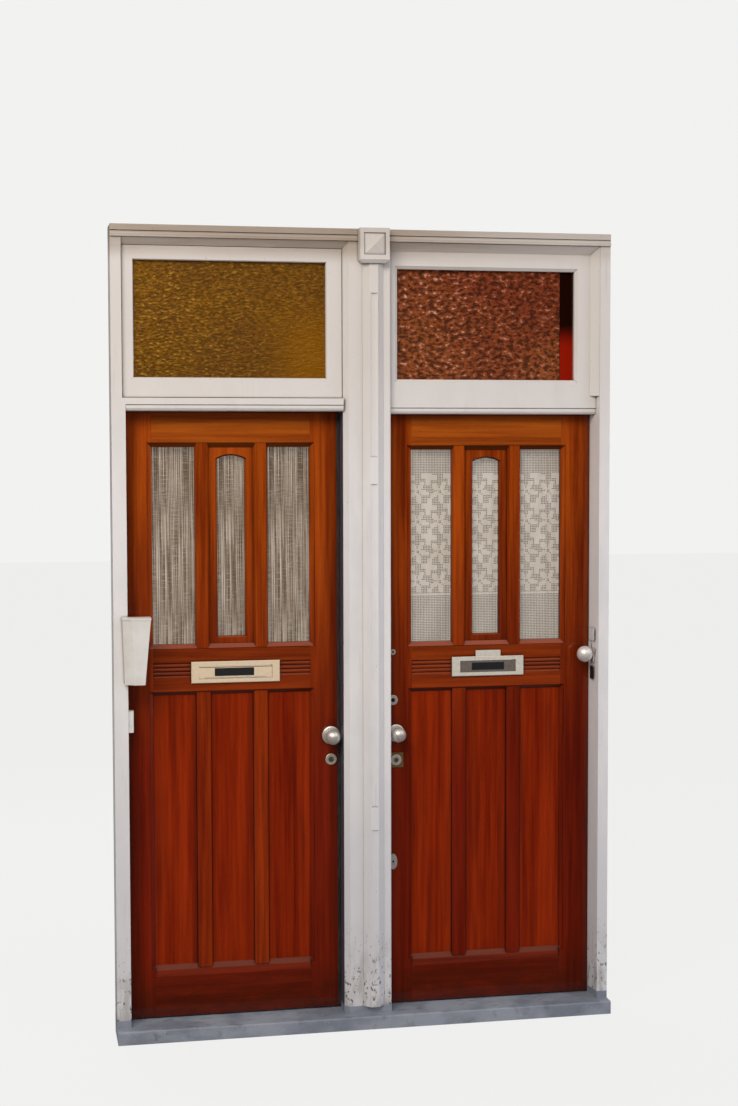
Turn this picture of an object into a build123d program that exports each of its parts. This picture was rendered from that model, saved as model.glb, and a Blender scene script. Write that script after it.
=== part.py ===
from build123d import *
import os
from math import atan, degrees, sqrt
from types import SimpleNamespace

os.makedirs("parts", exist_ok=True)

# Lengths are in millimetres. X runs along the front, Y from the street into the house, Z up.
# The origin is on the bed of the doorstep, under the middle post, in the plane of the street face.

# Frame
bay_width = 816
post_width = 182
jamb_width = 52
leaf_setback = 90
leaf_thickness = 44
frame_depth = leaf_setback + leaf_thickness
bolt_centre = leaf_setback + leaf_thickness / 2
head_bottom = 2993
head_height = 47
head_top = head_bottom + head_height
half_width = post_width / 2 + bay_width + jamb_width
post_edge = post_width / 2

# Rebates that the leaves close against
stop_lap = 12
edge_gap = 3
rebate = stop_lap + edge_gap
head_lap = 8
right_reveal_splay = 11
post_bevel = 20
post_round = 7
leaf_head_gap = 4
sash_setback = 22

# Stone
step_height = 50
step_projection = 50
step_round = 6
seat_height = 28
foot_level = step_height + seat_height

# Leaves
leaf_floor_gap = 8
leaf_bottom = step_height + leaf_floor_gap
left_margin = 100
right_margin = 116
field_width = bay_width - left_margin - right_margin
glass_moulding = 18
panel_moulding = 14
bar_moulding = 9
moulding_depth = 12
quirk = 2
mullion_width = 55
muntin_width = 55
muntin_setback = 5
muntin_chamfer = 3
bottom_rail_height = 195
weathering_height = 42
lock_rail_low = 1230
lock_rail_high = 1422
sight_depth = 14
glass_thickness = 4
glass_cover = 8
bead_depth = 10
panel_thickness = 12
panel_groove = 8
reed_count = 4
reed_radius = 6
reed_depth = 3
reed_pitch = 15
reed_low = 1302

# Hatch in the middle light
hatch_lap = 5
hatch_gap = 2
hatch_stile = 31
hatch_sill = 28
hatch_head = 32
hatch_arch = 14
hatch_bevel = 3
hatch_moulding = 7
hatch_glass_width = 106
hatch_hinge_inset = 90
hatch_bead_depth = 9
glass_play = 1

# Fanlights
transom_rail = 48
transom_nosing = 14
sash_stile_left = 42
sash_stile_right = 60
sash_bottom_rail = 73
sash_top_rail = 52
sash_thickness = 38
sash_gap = 3
sash_slope = 5
fan_stop_gap = 2
fan_stop_width = 18
fan_stop_height = 40
head_lip = 8
sash_glass_depth = 18
sash_pin_inset = 4
sash_pin_drop = 8
sash_pin_reach = 12
sash_pin_root = 2
sash_pin_hole = 14
right_transom_setback = 32
right_transom_height = 71
fan_frame_left = 22
fan_frame_right = 49
fan_frame_bottom = 49
fan_frame_top = 54
fan_bevel = 11
fan_splay = 30
fan_glass_depth = 28
fan_side_offset = 9
arris = 1

# Mouldings in section, from the top or the foot of their face: depth behind it, then height
head_profile = ((0, 2), (-7, 2), (-7, 8), (-5, 10), (-5, 12), (-3, 18), (-3, 21), (-1, 23),
                (-1, 25), (-5, 25), (-5, head_height), (0, head_height))
nosing_profile = ((transom_nosing, 0), (transom_nosing / 2, 3), (2, 10), (2, 20), (4, 22), (0, 24))

# Pilaster on the post
shaft_centre = 21
shaft_width = 80
shaft_proud = 25
shaft_facet = 32
flute_width = 28
flute_depth = 5
flute_spans = ((763, 162), (2083, 852), (2800, 2185))
capital_width = 112
capital_proud = 48
capital_height = 129
capital_chamfer = 12
field_side = 82
field_sink = 6
pyramid_rise = 13
pyramid_drop = 3

# Butt hinges
hinge_low = 300
hinge_top_drop = 286
hinge_height = 90
hinge_plate = 2
hinge_leaf = 34
knuckle_radius = 5
knuckle_stand = 5.5
pin_radius = 3
running_gap = 0.05
knuckle_gap = 0.3

# Locks and knobs
backset = 37
knob_level = 1058
rose_radius = 34.5
rose_thickness = 6
rose_rim = 5
knob_neck = 12
knob_radius = 29
knob_centre = 50
neck_sink = 1
bolt_length = 58
bolt_width = 14
bolt_height = 22
bolt_rise = 34
bolt_throw = 13
bolt_clearance = 0.3
strike_thickness = 3
strike_width = 26
strike_height = 100
strike_gap = 1.5
pocket_spare = 2
turn_grip = 22
turn_height = 28
turn_thickness = 8
plug_reach = 8
plug_proud = 5
key_slot = (2.4, 10, 4)
key_rosette = 22
key_play = 0.4
rosette_thickness = 4
key_plate_side = 58
key_plate_thickness = 2
spare_offset = 12
spare_lock_level, spare_lock_radius, spare_lock_hole = 1187, 20, 8
viewer_level, viewer_radius, viewer_hole, viewer_thickness = 1374, 12, 4, 3
escutcheon_level, escutcheon_width, escutcheon_height = 555, 32, 62
escutcheon_thickness = 3

# Letterplates
letter_plate_thickness = 6
letter_plate_chamfer = 2
flap_thickness = 3
flap_pin = 1.5
flap_gap = 1
flap_pin_reach = 4
flap_pin_hole = 5

# Fixing holes for wall anchors
anchor_radius = 5
anchor_low = 600
anchor_high = 2000

# The two openings are copies of each other moved sideways, so their wide margins are both right
# of the glass; heights differ a little because the house has settled.
left_bay = SimpleNamespace(
    name="left", start=-post_edge - bay_width, end=-post_edge, hinge=-1, clear_height=2300, drop=0,
    top_rail=142, letter_shift=12, plate_width=338, plate_height=82, flap_width=278, flap_height=48,
    plate_level=1273, key_level=965, key_radius=10.5)
right_bay = SimpleNamespace(
    name="right", start=post_edge, end=post_edge + bay_width, hinge=1, clear_height=2291, drop=12,
    top_rail=145, letter_shift=4, plate_width=288, plate_height=76, flap_width=222, flap_height=45,
    plate_level=1273, key_level=953, key_radius=9)


def facing(depth):
    """A sketch plane at that depth, seen from the street, with X across and Z up."""
    return Plane.XZ.offset(-depth)


def block(x_span, y_span, z_span, mode=Mode.ADD):
    """A square-edged piece from one end to the other along each axis."""
    spans = (x_span, y_span, z_span)
    with Locations(tuple((low + high) / 2 for low, high in spans)):
        Box(*(high - low for low, high in spans), mode=mode)


def outline(plane, points):
    """A flat face with straight sides."""
    with BuildSketch(plane) as face:
        with BuildLine():
            Polyline(*points, close=True)
        make_face()
    return face.sketch


def pane(plane, x_span, z_span):
    """An upright rectangle on a plane that faces the street."""
    with BuildSketch(plane) as face:
        with Locations(((x_span[0] + x_span[1]) / 2, (z_span[0] + z_span[1]) / 2)):
            Rectangle(x_span[1] - x_span[0], z_span[1] - z_span[0])
    return face.sketch


def grown(span, margin):
    """A span made longer by the margin at both ends."""
    return (span[0] - margin, span[1] + margin)


def moulded_cutter(x_span, z_span, front, width, depth):
    """The space in front of a sunk field, which leaves a mitred slope round its edge."""
    slope_depth = depth - quirk
    with BuildPart() as cutter:
        extrude(pane(facing(front + depth), x_span, z_span), amount=slope_depth,
                taper=-degrees(atan((width - quirk) / slope_depth)))
        extrude(pane(facing(front + quirk), grown(x_span, width), grown(z_span, width)),
                amount=quirk)
    return cutter.part


def save(piece, label):
    piece.part.label = label
    export_step(piece.part, f"parts/{label}.step")


# Sections of the three uprights, as seen from above
def left_jamb_section(level):
    inner = left_bay.start
    return outline(Plane.XY.offset(level), [
        (-half_width, 0), (inner, 0), (inner, leaf_setback), (inner - rebate, leaf_setback),
        (inner - rebate, frame_depth), (-half_width, frame_depth)])


def right_jamb_section(level):
    inner = right_bay.end
    return outline(Plane.XY.offset(level), [
        (half_width, 0), (inner + right_reveal_splay, 0), (inner, leaf_setback),
        (inner + rebate, leaf_setback), (inner + rebate, frame_depth), (half_width, frame_depth)])


def post_section(level):
    rebate_wall = post_edge - rebate
    return outline(Plane.XY.offset(level), [
        (-post_edge + post_bevel, 0), (post_edge, 0), (post_edge, leaf_setback),
        (rebate_wall, leaf_setback), (rebate_wall, frame_depth), (-rebate_wall, frame_depth),
        (-rebate_wall, leaf_setback), (-post_edge, leaf_setback), (-post_edge, sash_setback)])


# Doorstep: one stone with a low seat left standing under each upright
with BuildPart() as doorstep:
    block((-half_width, half_width), (-step_projection, frame_depth), (0, step_height))
    fillet(doorstep.edges().filter_by(Axis.X).group_by(Axis.Z)[-1].sort_by(Axis.Y)[0], step_round)
    for section in (left_jamb_section, right_jamb_section, post_section):
        extrude(section(step_height), amount=seat_height)
save(doorstep, "doorstep")

# Levels that the fanlights and leaves share, for each opening
for bay in (left_bay, right_bay):
    bay.opening_top = leaf_bottom + bay.clear_height
    bay.leaf_top = bay.opening_top + head_lap
    hinge_high = bay.leaf_top - hinge_top_drop
    bay.hinge_levels = (hinge_low, (hinge_low + hinge_high) / 2, hinge_high)
    bay.leaf_span = grown((bay.start, bay.end), stop_lap)
    bay.field = (bay.start + left_margin, bay.start + left_margin + field_width)
    side = (field_width - 2 * mullion_width - (2 * hatch_stile + hatch_glass_width)) / 2
    bay.light_width = side
    bay.hatch_opening = (bay.field[0] + side + mullion_width, bay.field[1] - side - mullion_width)
    base = leaf_bottom - bay.drop
    bay.light_span = (base + lock_rail_high, bay.leaf_top - bay.top_rail)
    bay.panel_span = (base + bottom_rail_height, base + lock_rail_low)
    bay.hinge_axis = (bay.start - rebate + edge_gap / 2 if bay.hinge < 0
                      else bay.end + rebate - edge_gap / 2)
    bay.lock_x = bay.end - backset if bay.hinge < 0 else bay.start + backset
    bay.lock_edge = bay.leaf_span[1] if bay.hinge < 0 else bay.leaf_span[0]
    bay.hinge_edge = bay.leaf_span[0] if bay.hinge < 0 else bay.leaf_span[1]
    bay.letter_x = (bay.field[0] + bay.field[1]) / 2 + bay.letter_shift

fan_low = left_bay.opening_top + transom_rail
sash_span_x = (left_bay.start - stop_lap + sash_gap, left_bay.end - sash_gap)
sash_span_z = (fan_low + sash_gap, head_bottom - post_bevel - sash_slope - fan_stop_gap)
sash_span_y = (sash_setback, sash_setback + sash_thickness)
sash_pivot = (sash_setback + sash_pin_inset, sash_span_z[1] - sash_pin_drop)
stop_face = sash_span_y[1] + fan_stop_gap


def anchor_holes(x_span):
    """Holes through a jamb for the wall anchors, under the leaf's edge."""
    for level in (anchor_low, anchor_high):
        with BuildSketch(Plane.YZ.offset(x_span[0])) as hole:
            with Locations((leaf_setback + leaf_thickness / 2, level)):
                Circle(anchor_radius)
        extrude(hole.sketch, amount=x_span[1] - x_span[0], mode=Mode.SUBTRACT)


def hinge_sinkings(bay, wall, mode):
    """The shallow housings in a jamb or a stile that the hinge plates lie in."""
    inward = (wall, wall + bay.hinge * hinge_plate) if mode == "jamb" else (
        wall - bay.hinge * hinge_plate, wall)
    for level in bay.hinge_levels:
        block(tuple(sorted(inward)), (frame_depth - hinge_leaf, frame_depth),
              (level, level + hinge_height), mode=Mode.SUBTRACT)


# Left jamb, cut back above the transom to take the opening fanlight
with BuildPart() as left_jamb:
    extrude(left_jamb_section(foot_level), amount=head_bottom - foot_level)
    block((left_bay.start - stop_lap, left_bay.start), (0, stop_face), (fan_low, head_bottom),
          mode=Mode.SUBTRACT)
    anchor_holes((-half_width, left_bay.start - rebate))
    hinge_sinkings(left_bay, left_bay.start - rebate, "jamb")
    with BuildSketch(Plane.YZ.offset(sash_span_x[0] - sash_pin_hole)):
        with Locations(sash_pivot):
            Circle(pin_radius + running_gap)
    extrude(amount=sash_pin_hole, mode=Mode.SUBTRACT)
save(left_jamb, "left_jamb")

with BuildPart() as right_jamb:
    extrude(right_jamb_section(foot_level), amount=head_bottom - foot_level)
    anchor_holes((right_bay.end + rebate, half_width))
    hinge_sinkings(right_bay, right_bay.end + rebate, "jamb")
save(right_jamb, "right_jamb")


def strike_levels(bay):
    centre = leaf_bottom + bay.key_level + bolt_rise
    return (centre - strike_height / 2, centre + strike_height / 2), centre


# Middle post, housed for the strike plates of both locks
with BuildPart() as middle_post:
    extrude(post_section(foot_level), amount=head_bottom - foot_level)
    fillet(middle_post.edges().filter_by(Axis.Z).sort_by(
        lambda edge: (edge.center() - Vector(post_edge, 0, edge.center().Z)).length)[0], post_round)
    for bay in (left_bay, right_bay):
        span, centre = strike_levels(bay)
        wall = bay.hinge * (post_edge - rebate)
        plate_x = tuple(sorted((wall, wall - bay.hinge * strike_thickness)))
        pocket_x = tuple(sorted((wall, wall - bay.hinge * (bolt_throw + strike_gap))))
        block(plate_x, grown((bolt_centre, bolt_centre), strike_width / 2), span,
              mode=Mode.SUBTRACT)
        block(pocket_x, grown((bolt_centre, bolt_centre), bolt_width / 2 + strike_gap),
              grown((centre, centre), bolt_height / 2 + strike_gap), mode=Mode.SUBTRACT)
    with BuildSketch(Plane.YZ.offset(sash_span_x[1])):
        with Locations(sash_pivot):
            Circle(pin_radius + running_gap)
    extrude(amount=sash_pin_hole, mode=Mode.SUBTRACT)
save(middle_post, "middle_post")

# Pilaster: a half-octagonal shaft with three stopped flutes, under a block with a sunk pyramid
shaft_side = (shaft_width - shaft_facet) / 2
capital_low = head_top - capital_height
with BuildPart() as pilaster_shaft:
    with BuildSketch(Plane.XY.offset(foot_level)):
        with BuildLine():
            Polyline((shaft_centre - shaft_width / 2, 0),
                     (shaft_centre - shaft_width / 2, shaft_side - shaft_proud),
                     (shaft_centre - shaft_facet / 2, -shaft_proud),
                     (shaft_centre + shaft_facet / 2, -shaft_proud),
                     (shaft_centre + shaft_width / 2, shaft_side - shaft_proud),
                     (shaft_centre + shaft_width / 2, 0), close=True)
        make_face()
    extrude(amount=capital_low - foot_level)
    flute_radius = ((flute_width / 2) ** 2 + flute_depth ** 2) / (2 * flute_depth)
    for high, low in flute_spans:
        with BuildSketch(Plane.XY.offset(low)) as flute:
            with Locations((shaft_centre, -shaft_proud + flute_depth - flute_radius)):
                Circle(flute_radius)
        extrude(flute.sketch, amount=high - low, mode=Mode.SUBTRACT)
save(pilaster_shaft, "pilaster_shaft")

with BuildPart() as pilaster_capital:
    capital_x = (shaft_centre - capital_width / 2, shaft_centre + capital_width / 2)
    block(capital_x, (-capital_proud, 0), (capital_low, head_top))
    lower_edges = pilaster_capital.edges().group_by(Axis.Z)[0].sort_by(Axis.Y)[:-1]
    chamfer(lower_edges, capital_chamfer)
    field_z = (capital_low + capital_height / 2) + capital_chamfer / 2
    block(grown((shaft_centre, shaft_centre), field_side / 2),
          (-capital_proud, -capital_proud + field_sink),
          grown((field_z, field_z), field_side / 2), mode=Mode.SUBTRACT)
    with BuildSketch(facing(-capital_proud + field_sink)):
        with Locations((shaft_centre, field_z)):
            Rectangle(field_side, field_side)
    with BuildSketch(facing(-capital_proud + field_sink - pyramid_rise)):
        with Locations((shaft_centre, field_z - pyramid_drop)):
            Rectangle(1, 1)
    loft()
save(pilaster_capital, "pilaster_capital")

# Head rail, with the sloped lip over the opening fanlight
with BuildPart() as head_rail:
    block((-half_width, half_width), (0, frame_depth), (head_bottom, head_top))
    lip_low = head_bottom - post_bevel - sash_slope
    extrude(outline(Plane.YZ.offset(left_bay.start - stop_lap), [
        (0, head_bottom), (sash_setback, lip_low), (sash_setback + head_lip, lip_low),
        (sash_setback + head_lip, head_bottom)]), amount=bay_width + stop_lap + post_bevel)
    block((left_bay.start, left_bay.end), (stop_face, stop_face + fan_stop_width),
          (head_bottom - fan_stop_height, head_bottom))
    add(middle_post.part, mode=Mode.SUBTRACT)
save(head_rail, "head_rail")

# Two beads and a fascia planted on the head, each side of the capital
with BuildPart() as head_mouldings:
    for x_span in ((-half_width, capital_x[0]), (capital_x[1], half_width)):
        with BuildSketch(Plane.YZ.offset(x_span[0])) as strip:
            with BuildLine():
                Polyline(*((depth, head_bottom + rise) for depth, rise in head_profile), close=True)
            make_face()
        extrude(strip.sketch, amount=x_span[1] - x_span[0])
save(head_mouldings, "head_mouldings")

# Left transom, flush with the street face, with a nosing and an upstand behind the fan sash
with BuildPart() as left_transom:
    low = left_bay.opening_top
    upstand = fan_low + fan_stop_width
    with BuildSketch(Plane.YZ.offset(left_bay.start)) as section:
        with BuildLine():
            Polyline((0, fan_low), (stop_face, fan_low), (stop_face, upstand),
                     (frame_depth, upstand), (frame_depth, low + rebate - leaf_head_gap),
                     (leaf_setback, low + rebate - leaf_head_gap), (leaf_setback, low),
                     *((depth, low + rise) for depth, rise in nosing_profile), close=True)
        make_face()
    extrude(section.sketch, amount=bay_width)
    block(grown((left_bay.start, left_bay.end), rebate), (leaf_setback, frame_depth),
          (low, low + rebate - leaf_head_gap), mode=Mode.SUBTRACT)
    add(middle_post.part, mode=Mode.SUBTRACT)
save(left_transom, "left_transom")

# Right transom, set back, with the rail of the fixed fan frame standing on it in one plane
with BuildPart() as right_transom:
    low = right_bay.opening_top
    high = low + right_transom_height
    face = right_transom_setback
    with BuildSketch(Plane.YZ.offset(right_bay.start)) as section:
        with BuildLine():
            Polyline((face, high), (frame_depth, high),
                     (frame_depth, low + rebate - leaf_head_gap),
                     (leaf_setback, low + rebate - leaf_head_gap), (leaf_setback, low),
                     *((face + depth, low + rise) for depth, rise in nosing_profile), close=True)
        make_face()
    extrude(section.sketch, amount=bay_width + right_reveal_splay)
    add(right_jamb.part, mode=Mode.SUBTRACT)
save(right_transom, "right_transom")

# Fixed fan frame, with a sloped moulding against the jamb and the head
fan_base = right_bay.opening_top + right_transom_height
fan_opening_x = (right_bay.start + fan_frame_left, right_bay.end - right_reveal_splay
                 - fan_frame_right - fan_side_offset)
fan_opening_z = (fan_base + fan_frame_bottom, head_bottom - fan_splay - fan_frame_top)
with BuildPart() as right_fan_frame:
    block((right_bay.start, right_bay.end + right_reveal_splay),
          (right_transom_setback - fan_splay, leaf_setback), (fan_base, head_bottom))
    slope_x = (right_bay.start - fan_splay, right_bay.end + right_reveal_splay - fan_splay - arris)
    slope_z = (fan_base - fan_splay, head_bottom - fan_splay - arris)
    extrude(pane(facing(right_transom_setback), slope_x, slope_z), amount=fan_splay, taper=-45,
            mode=Mode.SUBTRACT)
    extrude(pane(facing(right_transom_setback + fan_bevel), grown(fan_opening_x, -fan_bevel),
                 grown(fan_opening_z, -fan_bevel)), amount=fan_bevel, taper=-45,
            mode=Mode.SUBTRACT)
    block(grown(fan_opening_x, -fan_bevel), (right_transom_setback, leaf_setback),
          grown(fan_opening_z, -fan_bevel), mode=Mode.SUBTRACT)
    fan_glass_y = right_transom_setback + fan_glass_depth
    block(grown(fan_opening_x, glass_cover - fan_bevel), (fan_glass_y, leaf_setback),
          grown(fan_opening_z, glass_cover - fan_bevel), mode=Mode.SUBTRACT)
    add(right_jamb.part, mode=Mode.SUBTRACT)
    add(middle_post.part, mode=Mode.SUBTRACT)
save(right_fan_frame, "right_fan_frame")


def glazing_bead(x_span, z_span, front, depth):
    """A square ring behind a pane, flush with the sight line in front of it."""
    block(grown(x_span, glass_cover), (front, front + depth), grown(z_span, glass_cover))
    block(x_span, (front, front + depth), z_span, mode=Mode.SUBTRACT)


with BuildPart() as right_fan_glass:
    block(grown(fan_opening_x, glass_cover - fan_bevel),
          (fan_glass_y, fan_glass_y + glass_thickness),
          grown(fan_opening_z, glass_cover - fan_bevel))
save(right_fan_glass, "right_fan_glass")

# Opening fanlight: a sash hung on two pins near its top, which swings out at the foot
with BuildPart() as fan_sash:
    block(sash_span_x, sash_span_y, sash_span_z)
    sight_x = (sash_span_x[0] + sash_stile_left, sash_span_x[1] - sash_stile_right)
    sight_z = (sash_span_z[0] + sash_bottom_rail, sash_span_z[1] - sash_top_rail)
    extrude(pane(facing(sash_setback + sash_slope), sight_x, sight_z), amount=sash_slope,
            taper=-30, mode=Mode.SUBTRACT)
    block(sight_x, sash_span_y, sight_z, mode=Mode.SUBTRACT)
    sash_glass_y = sash_setback + sash_glass_depth
    block(grown(sight_x, glass_cover), (sash_glass_y, sash_span_y[1]),
          grown(sight_z, glass_cover), mode=Mode.SUBTRACT)
    for x_start in (sash_span_x[0] - sash_pin_reach, sash_span_x[1] - sash_pin_root):
        with BuildSketch(Plane.YZ.offset(x_start)) as pin:
            with Locations(sash_pivot):
                Circle(pin_radius)
        extrude(pin.sketch, amount=sash_pin_reach + sash_pin_root)
    glazing_bead(sight_x, sight_z, sash_glass_y + glass_thickness, bead_depth)
save(fan_sash, "fan_sash")

with BuildPart() as left_fan_glass:
    block(grown(sight_x, glass_cover), (sash_glass_y, sash_glass_y + glass_thickness),
          grown(sight_z, glass_cover))
save(left_fan_glass, "left_fan_glass")

# Strike plates let into the post
with BuildPart() as strike_plates:
    for bay in (left_bay, right_bay):
        span, centre = strike_levels(bay)
        wall = bay.hinge * (post_edge - rebate)
        plate_x = tuple(sorted((wall, wall - bay.hinge * strike_thickness)))
        block(plate_x, grown((bolt_centre, bolt_centre), strike_width / 2), span)
        block(plate_x, grown((bolt_centre, bolt_centre), bolt_width / 2 + strike_gap),
              grown((centre, centre), bolt_height / 2 + strike_gap), mode=Mode.SUBTRACT)
save(strike_plates, "strike_plates")

knuckle_third = hinge_height / 3
knuckle_y = frame_depth + knuckle_stand

# Frame halves of the hinges: plate, outer knuckles and pin
with BuildPart() as frame_hinge_plates:
    for bay in (left_bay, right_bay):
        wall = bay.start - rebate if bay.hinge < 0 else bay.end + rebate
        plate_x = tuple(sorted((wall, wall + bay.hinge * hinge_plate)))
        for level in bay.hinge_levels:
            block(plate_x, (frame_depth - hinge_leaf, frame_depth), (level, level + hinge_height))
            for low in (level, level + 2 * knuckle_third):
                block(plate_x, (frame_depth, knuckle_y), (low, low + knuckle_third))
                with Locations((bay.hinge_axis, knuckle_y, low + knuckle_third / 2)):
                    Cylinder(knuckle_radius, knuckle_third)
            with Locations((bay.hinge_axis, knuckle_y, level + hinge_height / 2)):
                Cylinder(pin_radius, hinge_height)
save(frame_hinge_plates, "frame_hinge_plates")

# Tapered box with a lid on the left jamb, its outer corner cut off
box_low, box_high = 1347, 1589
box_foot_lap, box_foot_width = 13, 73
box_mouth_lap, box_mouth_width = 21, 102
box_foot = (left_bay.start - box_foot_lap, left_bay.start - box_foot_lap + box_foot_width)
box_mouth = (left_bay.start - box_mouth_lap, left_bay.start - box_mouth_lap + box_mouth_width)
box_foot_depth, box_mouth_depth = 50, 66
box_corner_x, box_corner_y = 34, 26
lid_lap = 2
lid_height = 7


def box_section(level, x_span, depth):
    left, right = x_span
    return outline(Plane.XY.offset(level), [
        (left, 0), (left, box_corner_y - depth), (left + box_corner_x, -depth), (right, -depth),
        (right, 0)])


with BuildPart() as jamb_box:
    loft([box_section(box_low, box_foot, box_foot_depth),
          box_section(box_high, box_mouth, box_mouth_depth)])
    extrude(box_section(box_high, grown(box_mouth, lid_lap), box_mouth_depth + lid_lap),
            amount=lid_height)
save(jamb_box, "jamb_box")

# Bell push on the left reveal
push_low, push_high = 1163, 1243
push_front = 8
push_width, push_depth = 20, 34
push_x = (left_bay.start, left_bay.start + push_width)
push_button_z = 1190
push_round = 4
push_radius = 6
push_play = 0.3
push_sink = 10
push_stand = 2
push_edge = 1.2
push_length = 9
with BuildPart() as push_housing:
    block(push_x, (push_front, push_front + push_depth), (push_low, push_high))
    fillet(push_housing.edges().filter_by(Axis.Z).group_by(Axis.X)[-1], push_round)
    with BuildSketch(facing(push_front + push_sink)):
        with Locations((sum(push_x) / 2, push_button_z)):
            Circle(push_radius + push_play)
    extrude(amount=push_sink, mode=Mode.SUBTRACT)
save(push_housing, "push_housing")

with BuildPart() as push_button:
    with BuildSketch(facing(push_front - push_stand + push_length)):
        with Locations((sum(push_x) / 2, push_button_z)):
            Circle(push_radius)
    extrude(amount=push_length)
    fillet(push_button.faces().sort_by(Axis.Y)[0].edges(), push_edge)
save(push_button, "push_button")

# Bell: a nickel dome on an arm from the right reveal, with a small thumb lever beside it
bell_reach = 35
bell_x, bell_y, bell_z = right_bay.end - bell_reach, 30, 1413
bell_radius = 31
bell_wall = 2
bell_stem = 4
bell_back = bell_y + 14
bell_arm = 8
arm_rise = 5
arm_end = 7
mount_foot = 34
mount_front = 12
lever_thickness = 4
lever_play = 1
arm_y = (bell_back + 2, bell_back + 2 + bell_arm)
lever_y = (arm_y[1] + lever_play, arm_y[1] + lever_play + lever_thickness)
lever_pivot_x = bell_x + 8
lever_pin = 2
lever_pin_head = 2
thumb_x = (bell_x + bell_radius + 2.5, bell_x + bell_radius + 6)
thumb_front = bell_y - 8
thumb_top = bell_z + 19
with BuildPart() as bell_dome:
    with Locations((bell_x, bell_y, bell_z)):
        Sphere(bell_radius)
        Sphere(bell_radius - bell_wall, mode=Mode.SUBTRACT)
    split(bisect_by=facing(bell_back), keep=Keep.TOP)
save(bell_dome, "bell_dome")

with BuildPart() as bell_mount:
    block((bell_x - arm_end, right_bay.end + right_reveal_splay), arm_y,
          grown((bell_z, bell_z), arm_rise))
    block((right_bay.end, right_bay.end + right_reveal_splay), (arm_y[0] - mount_front, arm_y[1]),
          (bell_z - mount_foot, bell_z + arm_rise))
    with BuildSketch(facing(arm_y[1])):
        with Locations((bell_x, bell_z)):
            Circle(bell_stem)
    extrude(amount=arm_y[1] - bell_y + bell_radius - bell_wall - 2 * knuckle_gap)
    with BuildSketch(facing(lever_y[1] + lever_pin_head)):
        with Locations((lever_pivot_x, bell_z)):
            Circle(lever_pin)
    extrude(amount=lever_y[1] + lever_pin_head - arm_y[0])
    add(right_jamb.part, mode=Mode.SUBTRACT)
save(bell_mount, "bell_mount")

with BuildPart() as bell_lever:
    block((lever_pivot_x - arm_rise, thumb_x[1]), lever_y, grown((bell_z, bell_z), arm_rise))
    block(thumb_x, lever_y, (bell_z - arm_rise, thumb_top))
    block(thumb_x, (thumb_front, lever_y[1]), (bell_z + arm_rise, thumb_top))
    with BuildSketch(facing(lever_y[1])):
        with Locations((lever_pivot_x, bell_z)):
            Circle(lever_pin + running_gap)
    extrude(amount=lever_thickness, mode=Mode.SUBTRACT)
save(bell_lever, "bell_lever")


def turned(x, level, face, outward, points):
    """A round piece turned about a line that stands square out of the leaf."""
    axis_plane = Plane(origin=(x, face, level), x_dir=(1, 0, 0), z_dir=(0, 0, outward))
    with BuildSketch(axis_plane) as profile:
        with BuildLine():
            Polyline(*points, close=True)
        make_face()
    revolve(profile.sketch, axis=Axis((x, face, level), (0, 1, 0)))


def knob(x, level, face, outward):
    """A ball knob on a turned rose."""
    ball_low = knob_centre - sqrt(knob_radius ** 2 - knob_neck ** 2) + neck_sink
    turned(x, level, face, outward, [
        (0, 0), (rose_radius, 0), (rose_radius, rose_thickness / 3),
        (rose_radius - rose_rim, rose_thickness * 2 / 3), (knob_neck + rose_rim, rose_thickness),
        (knob_neck, rose_thickness + 6), (knob_neck, ball_low), (0, ball_low)])
    with Locations((x, face + outward * knob_centre, level)):
        Sphere(knob_radius)


def ring(x, level, face, outward, radius, hole, thickness):
    """A raised rosette with a plain hole."""
    turned(x, level, face, outward, [
        (hole, 0), (radius, 0), (radius, thickness / 2), (radius - thickness / 2, thickness),
        (hole, thickness)])


def folds(x_span, y, z_span, wave, count, thickness):
    """A gathered net: a thin sheet in even waves, hanging straight down."""
    pitch = (x_span[1] - x_span[0]) / count
    with BuildSketch(Plane.XY.offset(z_span[0])) as sheet:
        with BuildLine():
            for face in (y, y + thickness):
                for fold in range(count):
                    left = x_span[0] + fold * pitch
                    bulge = wave if fold % 2 else -wave
                    ThreePointArc((left, face), (left + pitch / 2, face + bulge),
                                  (left + pitch, face))
            for x in x_span:
                Line((x, y), (x, y + thickness))
        make_face()
    extrude(sheet.sketch, amount=z_span[1] - z_span[0])


curtain_seat = 0.3
curtain_wave = 1.5
curtain_y = frame_depth + curtain_wave + curtain_seat
curtain_thickness = 1.2
curtain_overlap = 10
curtain_drop = 24
hatch_curtain_drop = 15
curtain_folds = 12
hatch_folds = 8
knuckle = SimpleNamespace(radius=3.5, pin=1.6, stand=3.8, height=42, tab=12, plate=1.5)

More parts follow.
